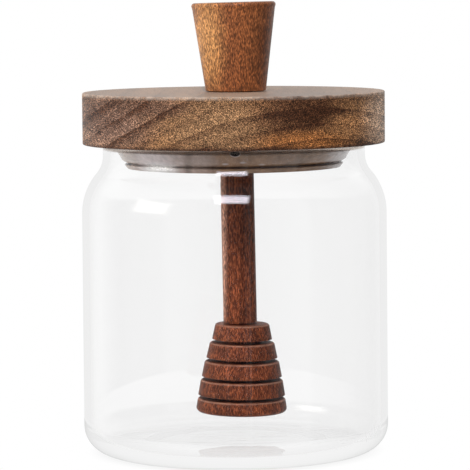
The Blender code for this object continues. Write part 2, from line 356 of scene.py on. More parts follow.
def make_seal():
    """The sealing ring: its profile turned once round, held under the notch's round floor.

    In front a point's height is the lower of its own and the notch's, which is a half circle
    across X, and a point on the flank slides down it to that height.
    """
    bore = PLUG_RADIUS + GAP
    flange_bore = PLUG_FLANGE_RADIUS + GAP
    ledge = PLUG_FLANGE_TOP + GAP
    flank_heights = np.linspace(SEAL_TOP - SEAL_LIP_THICKNESS, SEAL_GROOVE_TOP, 40)
    flank = np.stack([seal_flank_radius(flank_heights), flank_heights], axis=1)
    bead_centre = (SEAL_BEAD_RADIUS - SEAL_LIP_THICKNESS, SEAL_GROOVE_BOTTOM - SEAL_LIP_THICKNESS)
    outline = np.vstack([
        line((bore, SEAL_TOP), (SEAL_LIP_RADIUS - SEAL_LIP_THICKNESS, SEAL_TOP), 0.0005),
        flank,
        line((SEAL_GROOVE_RADIUS, SEAL_GROOVE_TOP), (SEAL_GROOVE_RADIUS, SEAL_GROOVE_BOTTOM), 0.0002),
        arc(bead_centre, SEAL_LIP_THICKNESS, 90, 0, 7),
        line((SEAL_BEAD_RADIUS, bead_centre[1]), (SEAL_BOTTOM_RADIUS, SEAL_BOTTOM), 0.0004),
        line((SEAL_BOTTOM_RADIUS, SEAL_BOTTOM), (flange_bore, SEAL_BOTTOM), 0.0006),
        line((flange_bore, SEAL_BOTTOM), (flange_bore, ledge), 0.0006),
        line((flange_bore, ledge), (bore, ledge), 0.0006),
        line((bore, ledge), (bore, SEAL_TOP), 0.0006),
    ])
    front = math.radians(270)
    half_span = math.radians(5)
    fine = np.linspace(front - half_span, front + half_span, 81)
    coarse = np.linspace(front + half_span, front - half_span + 2 * math.pi, 240)[1:-1]
    grid = swept(outline, np.concatenate([fine, coarse]))
    across = np.abs(grid[..., 0] - NOTCH_X)
    depth = np.sqrt(np.clip(NOTCH_RADIUS ** 2 - across ** 2, 0.0, None))
    floor = np.where(grid[..., 1] < 0.0, SEAL_TOP - depth, SEAL_TOP)
    held = grid[..., 2] > floor
    radius = np.hypot(grid[..., 0], grid[..., 1])
    new_radius = np.where(held, np.minimum(radius, seal_flank_radius(floor)), radius)
    grid[..., 0] *= new_radius / radius
    grid[..., 1] *= new_radius / radius
    grid[..., 2] = np.minimum(grid[..., 2], floor)
    return surface("sealing_ring", grid, loop=True)


def make_knob():
    """The knob: a cone that widens upwards, leaning a little, with a level foot and a socket.

    A side point's height along the leaning axis runs from the level foot to the rounded rim.
    The level foot crosses the side at r cos t tan(lean) below the axis point.
    """
    slope = (KNOB_TOP_RADIUS - KNOB_FOOT_RADIUS) / KNOB_HEIGHT
    side_angle = -math.degrees(math.atan(slope))
    angles = around(SMALL_STEPS)
    rim = arc((KNOB_TOP_RADIUS - KNOB_ROUND, KNOB_HEIGHT - KNOB_ROUND), KNOB_ROUND, 90, side_angle, 10)
    top = np.vstack([line((0.0, KNOB_HEIGHT), tuple(rim[0]), 0.001), rim])
    shares = np.linspace(0.0, 1.0, 34)[1:, None]
    foot_height = -KNOB_FOOT_RADIUS * np.cos(angles) * math.tan(KNOB_LEAN)
    side_height = rim[-1, 1] + (foot_height - rim[-1, 1]) * shares
    side_radius = KNOB_FOOT_RADIUS + slope * side_height
    side = np.stack([side_radius * np.cos(angles), side_radius * np.sin(angles), side_height], axis=-1)
    outside = leaned(np.vstack([swept(top, angles), side]), KNOB_FOOT_X, KNOB_FOOT, KNOB_LEAN)
    outside[-1, :, 2] = KNOB_FOOT
    bore = STICK_RADIUS + GAP
    roof = STICK_TOP + GAP
    heights = np.array([KNOB_FOOT, *KNOB_SOCKET_HEIGHTS, roof, roof])
    radii = np.array([bore, bore, bore, bore, bore, 0.0])
    socket = swept(np.stack([radii, heights], axis=1), angles, stick_axis_x(heights))
    grid = np.concatenate([outside, socket])
    # The flat top gets a painted sheen
    top_sheen = np.concatenate([level_rows(top, KNOB_HEIGHT), np.zeros(len(grid) - len(top))])
    return surface("lid_knob", grid, **{TOP_SHEEN: top_sheen})


def make_stick():
    """The stick: a dowel on its leaning axis, with a tenon below its shoulder."""
    top = STICK_TOP - STICK_SHOULDER
    outline = np.vstack([
        line((0.0, top), (STICK_RADIUS - STICK_EDGE, top), 0.002),
        line((STICK_RADIUS, top - STICK_EDGE), (STICK_RADIUS, STICK_EDGE), 0.002),
        line((STICK_RADIUS - STICK_EDGE, 0.0), (TENON_RADIUS, 0.0), 0.001),
        line((TENON_RADIUS, 0.0), (TENON_RADIUS, -TENON_LENGTH), 0.004),
        line((TENON_RADIUS, -TENON_LENGTH), (0.0, -TENON_LENGTH), 0.003),
    ])
    grid = swept(outline, around(SMALL_STEPS))
    return surface("dipper_stick", leaned(grid, STICK_SHOULDER_X, STICK_SHOULDER, STICK_LEAN))


def make_head():
    """The bell: five rings with round upper and sharp lower edges over slots, and a socket."""
    bore = TENON_RADIUS + GAP
    socket_floor = -TENON_LENGTH - GAP
    parts = [
        line((0.0, socket_floor), (bore, socket_floor), 0.002),
        line((bore, socket_floor), (bore, 0.0), 0.003),
    ]
    for number, (upper, lower) in enumerate(RING_RADII):
        top = -number * RING_PITCH
        bottom = top - (RING_PITCH - RING_SLOT)
        round_edge = arc((upper - RING_ROUND, top - RING_ROUND), RING_ROUND, 90, 0, 10)
        parts.append(line(tuple(parts[-1][-1]), tuple(round_edge[0]), 0.0008))
        parts.append(round_edge)
        if number < len(RING_RADII) - 1:
            floor = GROOVE_SHARE * lower
            parts.append(line((upper, top - RING_ROUND), (lower, bottom), 0.0005))
            parts.append(line((lower, bottom), (floor, bottom), 0.0008))
            parts.append(line((floor, bottom), (floor, top - RING_PITCH), 0.0004))
    foot_radius = RING_RADII[-1][1]
    foot_centre = (foot_radius - HEAD_BOTTOM_ROUND, HEAD_BOTTOM_ROUND - HEAD_HEIGHT)
    foot = arc(foot_centre, HEAD_BOTTOM_ROUND, 0, -90, 10)
    parts.append(line(tuple(parts[-1][-1]), tuple(foot[0]), 0.0005))
    parts.append(foot)
    parts.append(line(tuple(foot[-1]), (0.0, -HEAD_HEIGHT), 0.0012))
    outline = np.vstack(parts)
    # The rings' rounded upper edges get a painted highlight
    inset = RING_ROUND * (1 - math.sqrt(0.5))
    rims = [
        (upper - inset, -number * RING_PITCH - inset)
        for number, (upper, lower) in enumerate(RING_RADII)
    ]
    grid = leaned(swept(outline, around(SMALL_STEPS)), HEAD_TOP_X, HEAD_TOP, HEAD_LEAN)
    return surface("dipper_head_bell", grid, **{EDGE_HIGHLIGHT: edge_highlight_rows(outline, rims, RING_HIGHLIGHT_REACH)})


def node(tree, kind, settings=None, inputs=None):
    """A new node. Each input is a number, a colour, or a socket to link from."""
    made = tree.nodes.new(kind)
    for name, value in (settings or {}).items():
        setattr(made, name, value)
    for name, value in (inputs or {}).items():
        socket = made.inputs[name]
        if isinstance(value, bpy.types.NodeSocket):
            tree.links.new(value, socket)
        else:
            socket.default_value = value
    return made


def calc(tree, operation, first, second=0.0):
    """The result of a Math node on two numbers or sockets."""
    return node(tree, "ShaderNodeMath", {"operation": operation}, {0: first, 1: second}).outputs[0]


def vector_calc(tree, operation, first, second):
    """The vector result of a Vector Math node."""
    return node(tree, "ShaderNodeVectorMath", {"operation": operation}, {0: first, 1: second}).outputs[0]


def spread(tree, value, low, high, to_low=0.0, to_high=1.0, curve="LINEAR"):
    """A value carried from one range to another, held at its ends."""
    inputs = {"Value": value, "From Min": low, "From Max": high, "To Min": to_low, "To Max": to_high}
    settings = {"clamp": True, "interpolation_type": curve}
    return node(tree, "ShaderNodeMapRange", settings, inputs).outputs[0]


def length(tree, vector):
    """The length of a vector."""
    return node(tree, "ShaderNodeVectorMath", {"operation": "LENGTH"}, {0: vector}).outputs["Value"]


def mix_colour(tree, factor, first, second):
    """Two colours mixed by a factor."""
    settings = {"data_type": "RGBA", "clamp_factor": True}
    return node(tree, "ShaderNodeMix", settings, {0: factor, 6: first, 7: second}).outputs[2]


def noise(tree, coordinates, scale, detail=2.0, roughness=0.5, seed=0.0):
    """A noise value from 0 to 1 over the coordinates, its seed the fourth dimension."""
    inputs = {"Vector": coordinates, "Scale": scale, "Detail": detail, "Roughness": roughness, "W": seed}
    return node(tree, "ShaderNodeTexNoise", {"noise_dimensions": "4D"}, inputs).outputs[0]


def group(name, inputs, outputs):
    """A shader node group with named sockets, and its input and output nodes."""
    tree = bpy.data.node_groups.new(name, "ShaderNodeTree")
    kinds = {float: "NodeSocketFloat", tuple: "NodeSocketColor", None: "NodeSocketVector"}
    for label, default in inputs.items():
        kind = kinds[None if default is None else type(default)]
        socket = tree.interface.new_socket(name=label, in_out="INPUT", socket_type=kind)
        if default is not None:
            socket.default_value = default
    for label, kind in outputs.items():
        tree.interface.new_socket(name=label, in_out="OUTPUT", socket_type=kind)
    return tree, tree.nodes.new("NodeGroupInput").outputs, tree.nodes.new("NodeGroupOutput").inputs


def make_wood_grain():
    """The wood shared by every turned piece, its grain along the Z of the coordinates it is given.

    Growth rings are circles about Z, widened and bent by noise, each with a tone of its own and
    a darker late edge. Fibres, pores and specks are noise drawn out along Z, so a long-grain face
    shows streaks and end grain shows dots. Shade darkens the wood where it is above nought.
    """
    inputs = {
        "Coordinates": None,
        "Light Wood": (0.30, 0.16, 0.08, 1.0),
        "Dark Wood": (0.08, 0.035, 0.018, 1.0),
        "Shade": 0.0,
        "Ring Spacing": 0.004,
        "Ring Contrast": 0.6,
        "Fibre Contrast": 0.5,
        "Speck Size": 0.0009,
        "Speck Length": 0.2,
        "Speck Contrast": 0.6,
        "Pore Depth": 0.5,
        "Wander": 0.004,
        "Seed": 0.0,
    }
    outputs = {"Color": "NodeSocketColor", "Roughness": "NodeSocketFloat", "Height": "NodeSocketFloat"}
    tree, given, result = group("wood_grain", inputs, outputs)
    place = given["Coordinates"]
    seed = given["Seed"]
    drawn_out = vector_calc(tree, "MULTIPLY", place, (1.0, 1.0, 0.25))
    bend = node(
        tree,
        "ShaderNodeTexNoise",
        {"noise_dimensions": "4D"},
        {"Vector": drawn_out, "Scale": 26.0, "Detail": 3.0, "W": seed},
    ).outputs["Color"]
    bend = vector_calc(tree, "SUBTRACT", bend, (0.5, 0.5, 0.5))
    scaled = node(tree, "ShaderNodeVectorMath", {"operation": "SCALE"}, {0: bend, "Scale": given["Wander"]})
    bent = vector_calc(tree, "ADD", place, scaled.outputs[0])
    flat = vector_calc(tree, "MULTIPLY", bent, (1.0, 1.0, 0.0))
    rings = calc(tree, "DIVIDE", length(tree, flat), given["Ring Spacing"])
    ring_wave = calc(tree, "MULTIPLY", noise(tree, drawn_out, 14.0, 1.0, 0.5, seed), 2.4)
    rings = calc(tree, "ADD", rings, ring_wave)
    ring_share = calc(tree, "FRACT", rings)
    late_edge = spread(tree, ring_share, 0.45, 0.93)
    late_edge = calc(tree, "MULTIPLY", late_edge, spread(tree, ring_share, 1.0, 0.95))
    ring_number = calc(tree, "FLOOR", rings)
    ring_tone = node(
        tree, "ShaderNodeTexWhiteNoise", {"noise_dimensions": "1D"}, {"W": ring_number}
    ).outputs["Value"]
    late_part = calc(tree, "MULTIPLY", late_edge, 0.62)
    ring_dark = calc(tree, "ADD", late_part, calc(tree, "MULTIPLY", ring_tone, 0.38))
    streaked = vector_calc(tree, "MULTIPLY", bent, (1.0, 1.0, 0.045))
    fibre = noise(tree, streaked, 620.0, 4.0, 0.62, seed)
    fibre = spread(tree, fibre, 0.33, 0.67)
    fine = noise(tree, vector_calc(tree, "MULTIPLY", place, (1.0, 1.0, 0.03)), 2400.0, 2.0, 0.5, seed)
    fine = spread(tree, fine, 0.3, 0.7)
    cells = node(
        tree,
        "ShaderNodeTexVoronoi",
        {"voronoi_dimensions": "3D", "feature": "F1"},
        {"Vector": vector_calc(tree, "MULTIPLY", bent, (1.0, 1.0, 0.07)), "Scale": 1150.0},
    ).outputs["Distance"]
    pore = spread(tree, cells, 0.34, 0.16)
    cloud = spread(tree, noise(tree, drawn_out, 55.0, 3.0, 0.55, seed), 0.35, 0.65)
    fibre_part = calc(tree, "ADD", calc(tree, "MULTIPLY", fibre, 0.65), calc(tree, "MULTIPLY", fine, 0.35))
    fibre_part = calc(tree, "MULTIPLY", calc(tree, "SUBTRACT", fibre_part, 0.5), given["Fibre Contrast"])
    ring_part = calc(tree, "MULTIPLY", calc(tree, "SUBTRACT", ring_dark, 0.45), given["Ring Contrast"])
    cloud_part = calc(tree, "MULTIPLY", calc(tree, "SUBTRACT", cloud, 0.5), 0.35)
    grain_part = calc(tree, "ADD", fibre_part, ring_part)
    darkness = calc(tree, "ADD", grain_part, calc(tree, "ADD", cloud_part, 0.45))
    darkness = calc(tree, "ADD", darkness, given["Shade"])
    darkness = calc(tree, "MAXIMUM", calc(tree, "MINIMUM", darkness, 1.0), 0.0)
    colour = mix_colour(tree, darkness, given["Light Wood"], given["Dark Wood"])
    stretch = node(
        tree, "ShaderNodeCombineXYZ", {}, {"X": 1.0, "Y": 1.0, "Z": given["Speck Length"]}
    ).outputs[0]
    speck_place = vector_calc(tree, "MULTIPLY", place, stretch)
    speck_scale = calc(tree, "DIVIDE", 1.0, given["Speck Size"])
    speck = spread(tree, noise(tree, speck_place, speck_scale, 1.0, 0.5, seed), 0.34, 0.66, -1.0, 1.0)
    speck = calc(tree, "MULTIPLY", speck, given["Speck Contrast"])
    colour = node(
        tree, "ShaderNodeVectorMath", {"operation": "SCALE"},
        {0: colour, "Scale": calc(tree, "POWER", math.e, speck)},
    ).outputs[0]
    pore_dark = calc(tree, "MULTIPLY", pore, given["Pore Depth"])
    colour = mix_colour(tree, pore_dark, colour, given["Dark Wood"])
    height = calc(tree, "SUBTRACT", calc(tree, "MULTIPLY", calc(tree, "ADD", fibre_part, speck), 0.5), pore)
    tree.links.new(colour, result["Color"])
    tree.links.new(calc(tree, "ADD", calc(tree, "MULTIPLY", pore_dark, 0.2), 0.46), result["Roughness"])
    tree.links.new(height, result["Height"])
    return tree


def make_soft_patch():
    """A mask for a zone of a piece: 1 round its centre, falling to 0 at its size, its edge ragged."""
    inputs = {"Coordinates": None, "Centre": None, "Size": None, "Ragged": 0.5}
    tree, given, result = group("soft_patch", inputs, {"Mask": "NodeSocketFloat"})
    offset = vector_calc(tree, "SUBTRACT", given["Coordinates"], given["Centre"])
    reach = length(tree, vector_calc(tree, "DIVIDE", offset, given["Size"]))
    drawn_out = vector_calc(tree, "MULTIPLY", given["Coordinates"], (0.35, 0.35, 1.0))
    ragged = calc(tree, "SUBTRACT", noise(tree, drawn_out, 170.0, 4.0, 0.6, 5.0), 0.5)
    reach = calc(tree, "ADD", reach, calc(tree, "MULTIPLY", ragged, given["Ragged"]))
    tree.links.new(spread(tree, reach, 1.0, 0.25, curve="SMOOTHSTEP"), result["Mask"])
    return tree


def new_material(name):
    """A material with its Principled BSDF and its output."""
    material = bpy.data.materials.new(name)
    material.use_nodes = True
    tree = material.node_tree
    return material, tree, tree.nodes["Principled BSDF"]


def use_group(tree, source, values):
    """A group node in a material, with its own values or links."""
    made = tree.nodes.new("ShaderNodeGroup")
    made.node_tree = source
    for label, value in values.items():
        if isinstance(value, bpy.types.NodeSocket):
            tree.links.new(value, made.inputs[label])
        else:
            made.inputs[label].default_value = value
    return made.outputs


def wood_material(name, groups, turn, centre, values, relief, specular, highlight_and_sheen_tint, zones=()):
    """Wood from the shared grain, turned and centred on the piece by a Mapping node.

    Each zone is a soft patch that adds its shade and draws the wood towards its own tint; some zones
    are painted light. Rounded edges get painted highlights towards the highlight and sheen tint,
    broken up by noise. Flat tops get a painted sheen, so they are paler and their specks are fainter.
    """
    grain, patch = groups
    material, tree, shader = new_material(name)
    place = node(tree, "ShaderNodeTexCoord").outputs["Object"]
    rotation = Matrix.Rotation(turn[0], 3, "X") if turn[0] else Matrix.Identity(3)
    location = -(rotation @ Vector(centre))
    mapping = node(tree, "ShaderNodeMapping", {}, {"Vector": place, "Location": location, "Rotation": turn})
    values = dict(values)
    shade = 0.0
    for zone_centre, zone_size, zone_shade, tint, strength in zones:
        zone = {"Coordinates": place, "Centre": zone_centre, "Size": zone_size}
        mask = use_group(tree, patch, zone)["Mask"]
        shade = calc(tree, "ADD", calc(tree, "MULTIPLY", mask, zone_shade), shade)
        tinted = calc(tree, "MULTIPLY", mask, strength)
        values["Light Wood"] = mix_colour(tree, tinted, values["Light Wood"], tint)
    # Painted sheen on flat tops: paler, with fainter specks
    top_sheen = node(tree, "ShaderNodeAttribute", {"attribute_name": TOP_SHEEN}).outputs["Fac"]
    values["Speck Contrast"] = spread(tree, top_sheen, 0.0, 1.0, values["Speck Contrast"], TOP_SHEEN_SPECKS)
    values["Shade"] = shade
    values["Coordinates"] = mapping.outputs[0]
    wood = use_group(tree, grain, values)
    # Painted highlights along rounded edges, broken up by noise
    edge_highlight = node(tree, "ShaderNodeAttribute", {"attribute_name": EDGE_HIGHLIGHT}).outputs["Fac"]
    patchy = spread(tree, noise(tree, place, 420.0, 2.0, 0.6, 9.0), 0.3, 0.6, 0.25, 1.0)
    highlight_and_sheen = calc(tree, "MULTIPLY", calc(tree, "MULTIPLY", edge_highlight, patchy), 0.7)
    highlight_and_sheen = calc(tree, "MAXIMUM", highlight_and_sheen, calc(tree, "MULTIPLY", top_sheen, TOP_SHEEN_PALENESS))
    tree.links.new(mix_colour(tree, highlight_and_sheen, wood["Color"], highlight_and_sheen_tint), shader.inputs["Base Color"])
    tree.links.new(wood["Roughness"], shader.inputs["Roughness"])
    shader.inputs["Specular IOR Level"].default_value = specular
    bump = node(tree, "ShaderNodeBump", {}, {"Height": wood["Height"], "Distance": relief, "Strength": 0.6})
    tree.links.new(bump.outputs[0], shader.inputs["Normal"])
    return material


def glass_material(patch):
    """Clear glass: a little grey and wavy in its thick base, and dimmed by the lid at its rim.

    Shadow rays pass straight through, so light reaches what stands inside. Rays mirrored again
    and again would be lost inside the thick base, so they take an even glow instead.
    """
    material, tree, shader = new_material("clear_jar_glass")
    place = node(tree, "ShaderNodeTexCoord").outputs["Object"]
    height = node(tree, "ShaderNodeSeparateXYZ", {}, {0: place}).outputs[2]
    thin = spread(tree, height, BASE_CURVE / 2, BASE_CURVE * 3, curve="SMOOTHSTEP")
    rim = spread(tree, height, JAR_HEIGHT - WALL * 0.7, JAR_HEIGHT - WALL / 2)
    tint = mix_colour(tree, rim, mix_colour(tree, thin, BASE_TINT, WHITE), RIM_TINT)
    tree.links.new(tint, shader.inputs["Base Color"])
    low = spread(tree, height, FLOOR_HEIGHT, FLOOR_HEIGHT + FLOOR_CURVE, 1.0, 0.0)
    ripple = calc(tree, "MULTIPLY", noise(tree, place, 45.0, 1.0, 0.5, 1.0), low)
    seeds = {"Coordinates": place, "Centre": SEED_PATCH_CENTRE, "Size": SEED_PATCH_SIZE}
    seed_mask = use_group(tree, patch, seeds)["Mask"]
    seedy = calc(tree, "MULTIPLY", seed_mask, noise(tree, place, 480.0, 1.0, 0.5, 3.0))
    ripple = calc(tree, "ADD", ripple, calc(tree, "MULTIPLY", seedy, SEED_RELIEF_SHARE))
    bump = node(tree, "ShaderNodeBump", {}, {"Height": ripple, "Distance": GLASS_RELIEF, "Strength": 1.0})
    tree.links.new(bump.outputs[0], shader.inputs["Normal"])
    shader.inputs["Roughness"].default_value = 0.0
    shader.inputs["IOR"].default_value = GLASS_IOR
    shader.inputs["Transmission Weight"].default_value = 1.0
    rays = node(tree, "ShaderNodeLightPath").outputs
    clear = node(tree, "ShaderNodeBsdfTransparent", {}, {"Color": GLASS_SHADOW})
    glow = node(tree, "ShaderNodeEmission", {}, {"Color": TRAPPED_GREY})
    allowed = spread(tree, height, FLOOR_HEIGHT, FLOOR_HEIGHT + FLOOR_CURVE / 3, 0.5, 1.5)
    lost = calc(tree, "GREATER_THAN", rays["Glossy Depth"], allowed)
    body = node(tree, "ShaderNodeMixShader", {}, {0: lost, 1: shader.outputs[0], 2: glow.outputs[0]})
    seen = {0: rays["Is Shadow Ray"], 1: body.outputs[0], 2: clear.outputs[0]}
    mix = node(tree, "ShaderNodeMixShader", {}, seen)
    tree.links.new(mix.outputs[0], tree.nodes["Material Output"].inputs["Surface"])
    material.cycles.emission_sampling = "NONE"
    return material


def silicone_material(patch, zones):
    """Frosted soft ring, warm where the wooden plug shows through it and paler in its zones, which are
    painted reflections, a painted highlight and painted glints.

    Upright streaks, left by the mould, make it a little uneven. Its groove has a painted brown shade,
    weaker under the painted reflections, and the notch has painted dark shade inside a thin painted
    highlight.
    """
    material, tree, shader = new_material("frosted_silicone")
    place = node(tree, "ShaderNodeTexCoord").outputs["Object"]
    cloud = spread(tree, noise(tree, place, 160.0, 3.0, 0.5, 2.0), 0.35, 0.65)
    colour = mix_colour(tree, cloud, SILICONE_WARM, SILICONE_COOL)
    pale = 0.0
    for centre, size, tint, strength in zones:
        mask = use_group(tree, patch, {"Coordinates": place, "Centre": centre, "Size": size})["Mask"]
        share = calc(tree, "MULTIPLY", mask, strength)
        colour = mix_colour(tree, share, colour, tint)
        pale = calc(tree, "MAXIMUM", pale, share)
    upright = vector_calc(tree, "MULTIPLY", place, (1.0, 1.0, 0.02))
    streak = spread(tree, noise(tree, upright, 520.0, 2.0, 0.6, 4.0), 0.3, 0.7, 0.8, 1.15)
    parts = node(tree, "ShaderNodeSeparateXYZ", {}, {0: place}).outputs
    # A painted brown shade in the groove, weaker under the painted reflections
    groove_middle = (SEAL_GROOVE_TOP + SEAL_GROOVE_BOTTOM) / 2
    from_groove = calc(tree, "ABSOLUTE", calc(tree, "SUBTRACT", parts[2], groove_middle))
    groove = spread(tree, from_groove, 0.0006, 0.0002)
    groove = calc(tree, "MULTIPLY", groove, spread(tree, pale, 0.3, 0.9, 0.9, 0.1))
    colour = mix_colour(tree, groove, colour, GROOVE_SHADE)
    streaked = node(tree, "ShaderNodeVectorMath", {"operation": "SCALE"}, {0: colour, "Scale": streak})
    colour = streaked.outputs[0]
    across = calc(tree, "SUBTRACT", parts[0], NOTCH_X)
    down = calc(tree, "SUBTRACT", parts[2], SEAL_TOP)
    from_notch = length(tree, node(tree, "ShaderNodeCombineXYZ", {}, {0: across, 1: down}).outputs[0])
    in_front = calc(tree, "LESS_THAN", parts[1], 0.0)
    # Painted highlight round the notch's edge
    rim_reach = NOTCH_RADIUS + NOTCH_RIM
    rim = spread(tree, from_notch, rim_reach, NOTCH_RADIUS + NOTCH_RIM / 2, curve="SMOOTHSTEP")
    colour = mix_colour(tree, calc(tree, "MULTIPLY", rim, in_front), colour, NOTCH_HIGHLIGHT)
    # Painted dark shade inside the notch
    hollow = calc(tree, "LESS_THAN", from_notch, NOTCH_RADIUS + NOTCH_RIM / 8)
    colour = mix_colour(tree, calc(tree, "MULTIPLY", hollow, in_front), colour, NOTCH_SHADE)
    tree.links.new(colour, shader.inputs["Base Color"])
    shader.inputs["Roughness"].default_value = SILICONE_ROUGHNESS
    shader.inputs["IOR"].default_value = SILICONE_IOR
    shader.inputs["Transmission Weight"].default_value = SILICONE_CLEARNESS
    return material


def dress(piece, material, nodes):
    """Give a piece its material, hang it under the body, and hide the solids it stands for."""
    piece.data.materials.append(material)
    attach(piece, BODY)
    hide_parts(*nodes)


def softbox(name, azimuth, elevation, distance, width, height, power, colour, core):
    """A light that faces the pot. Azimuth runs from the camera's side towards +X.

    It glows evenly out to the core's share of its half width, then fades out to its rim.
    """
    data = bpy.data.lights.new(name, "AREA")
    data.shape = "RECTANGLE"
    data.size = width
    data.size_y = height
    data.energy = power
    data.color = colour
    light = bpy.data.objects.new(name, data)
    azimuth = math.radians(azimuth)
    elevation = math.radians(elevation)
    away = Vector((
        math.sin(azimuth) * math.cos(elevation),
        -math.cos(azimuth) * math.cos(elevation),
        math.sin(elevation),
    ))
    light.location = Vector((0.0, 0.0, LIGHT_AIM_HEIGHT)) + away * distance
    light.rotation_euler = (-away).to_track_quat("-Z", "Y").to_euler()
    light.visible_camera = False
    data.use_nodes = True
    tree = data.node_tree
    across = node(tree, "ShaderNodeNewGeometry").outputs["Parametric"]
    offset = vector_calc(tree, "SUBTRACT", across, (0.5, 0.5, 0.0))
    offset = vector_calc(tree, "MULTIPLY", offset, (2.0, 2.0, 0.0))
    offset = vector_calc(tree, "ABSOLUTE", offset, (0.0, 0.0, 0.0))
    sides = node(tree, "ShaderNodeSeparateXYZ", {}, {0: offset})
    reach = calc(tree, "MAXIMUM", sides.outputs[0], sides.outputs[1])
    glow = spread(tree, reach, 1.0, core, 0.0, 1.0, "SMOOTHSTEP")
    tree.links.new(glow, tree.nodes["Emission"].inputs["Strength"])
    bpy.context.scene.collection.objects.link(light)


def ray_history(tree):
    """Four switches for a ray: mirrored once, mirrored more often, went into glass, was scattered."""
    rays = node(tree, "ShaderNodeLightPath").outputs
    once = calc(tree, "COMPARE", rays["Glossy Depth"], 1.0)
    often = calc(tree, "GREATER_THAN", rays["Glossy Depth"], 1.5)
    entered = calc(tree, "GREATER_THAN", rays["Transmission Depth"], 0.5)
    return once, often, entered, calc(tree, "GREATER_THAN", rays["Diffuse Depth"], 0.5)


def wall_levels(tree, share, stops):
    """A grey by azimuth, from stops of (degrees from the camera's side towards +X, level)."""
    ramp = node(tree, "ShaderNodeValToRGB", {}, {0: share})
    elements = ramp.color_ramp.elements
    while len(elements) < len(stops):
        elements.new(0.5)
    for element, (degrees, level) in zip(elements, stops):
        element.position = (degrees + 180) / 360
        element.color = (level, level, level, 1.0)
    return ramp.outputs[0]


def make_world():
    """A white studio. The camera sees plain white.

    Rays mirrored once see dim walls in front, bright ones behind and a dim ceiling, and rays
    mirrored more often see an even grey. Lit surfaces get more from the left.
    """
    world = bpy.data.worlds.new("studio")
    bpy.context.scene.world = world
    world.use_nodes = True
    tree = world.node_tree
    background = tree.nodes["Background"]
    direction = node(tree, "ShaderNodeTexCoord").outputs["Generated"]
    parts = node(tree, "ShaderNodeSeparateXYZ", {}, {0: direction}).outputs
    azimuth = calc(tree, "ARCTAN2", parts[0], calc(tree, "MULTIPLY", parts[1], -1.0))
    share = spread(tree, azimuth, -math.pi, math.pi)
    ceiling = spread(tree, parts[2], 0.5, 0.8)
    mirrored = mix_colour(tree, ceiling, wall_levels(tree, share, MIRRORED_WALLS), CEILING_GREY)
    overhead = spread(tree, parts[2], 0.3, 0.9)
    lit_by = mix_colour(tree, overhead, wall_levels(tree, share, LIGHT_WALLS), CEILING_LIGHT)
    world.cycles.sampling_method = "NONE"
    level_view = spread(tree, parts[2], -0.30, -0.22)
    once, often, entered, scattered = ray_history(tree)
    dimmed = calc(tree, "MULTIPLY", once, spread(tree, entered, 0.0, 1.0, 1.0, level_view))
    seen = mix_colour(tree, often, mix_colour(tree, dimmed, WHITE, mirrored), TRAPPED_GREY)
    tree.links.new(mix_colour(tree, scattered, seen, lit_by), background.inputs["Color"])


def make_floor():
    """A pale round table top under the pot, with a painted contact shadow round and under the pot's base.
    """
    radii = np.linspace(0.0, TABLE_RADIUS, TABLE_RINGS)
    outline = np.stack([radii, np.full(TABLE_RINGS, TABLE_HEIGHT)], axis=1)
    grid = swept(outline, around(TABLE_STEPS))
    rows, columns = grid.shape[:2]
    index = np.arange(rows * columns).reshape(rows, columns)
    corners = [index[:-1], index[1:], np.roll(index[1:], -1, axis=1), np.roll(index[:-1], -1, axis=1)]
    mesh = bpy.data.meshes.new("table_top")
    mesh.from_pydata(grid.reshape(-1, 3).tolist(), [], np.stack(corners, axis=-1).reshape(-1, 4).tolist())
    floor = bpy.data.objects.new("table_top", mesh)
    bpy.context.scene.collection.objects.link(floor)
    material, tree, shader = new_material("pale_table")
    shader.inputs["Base Color"].default_value = TABLE_GREY
    shader.inputs["Roughness"].default_value = TABLE_ROUGHNESS
    reach = length(tree, node(tree, "ShaderNodeTexCoord").outputs["Object"])
    rest_radius = BODY_RADIUS - BASE_CURVE
    # Painted contact shadow round and just inside the ring where the pot rests
    contact_shadow = spread(tree, reach, rest_radius, BODY_RADIUS, CONTACT_SHADOW_LEVEL, 1.0, "SMOOTHSTEP")
    inside = spread(tree, reach, REST_INNER_RADIUS, rest_radius, 1.0, CONTACT_SHADOW_LEVEL, "SMOOTHSTEP")
    once, often, entered, scattered = ray_history(tree)
    reflection = spread(tree, entered, 0.0, 1.0, MIRRORED_TABLE, TABLE_IN_BASE)
    mirrored = calc(tree, "MAXIMUM", once, often)
    seen = spread(tree, mirrored, 0.0, 1.0, calc(tree, "MAXIMUM", contact_shadow, inside), reflection)
    level = node(tree, "ShaderNodeEmission", {}, {"Strength": seen})
    mix = node(tree, "ShaderNodeMixShader", {}, {0: scattered, 1: level.outputs[0], 2: shader.outputs[0]})
    tree.links.new(mix.outputs[0], tree.nodes["Material Output"].inputs["Surface"])
    material.cycles.emission_sampling = "NONE"
    floor.data.materials.append(material)


def make_camera():
    """The camera at the photograph's angle: a long lens aimed at the pot, then rolled."""
    data = bpy.data.cameras.new("camera")
    data.lens = CAMERA_LENS
    data.sensor_width = SENSOR_WIDTH
    camera = bpy.data.objects.new("camera", data)
    away = Vector((0.0, -math.cos(CAMERA_ELEVATION), math.sin(CAMERA_ELEVATION)))
    look = (-away).to_track_quat("-Z", "Y").to_matrix() @ Matrix.Rotation(CAMERA_ROLL, 3, "Z")
    camera.matrix_world = Matrix.Translation(LOOK_AT + away * CAMERA_DISTANCE) @ look.to_4x4()
    bpy.context.scene.collection.objects.link(camera)
    bpy.context.scene.camera = camera


make_camera()
wood_groups = (make_wood_grain(), make_soft_patch())
LONG_GRAIN = (0.0, 0.0, 0.0)
CROSS_GRAIN = (math.radians(90), 0.0, 0.0)
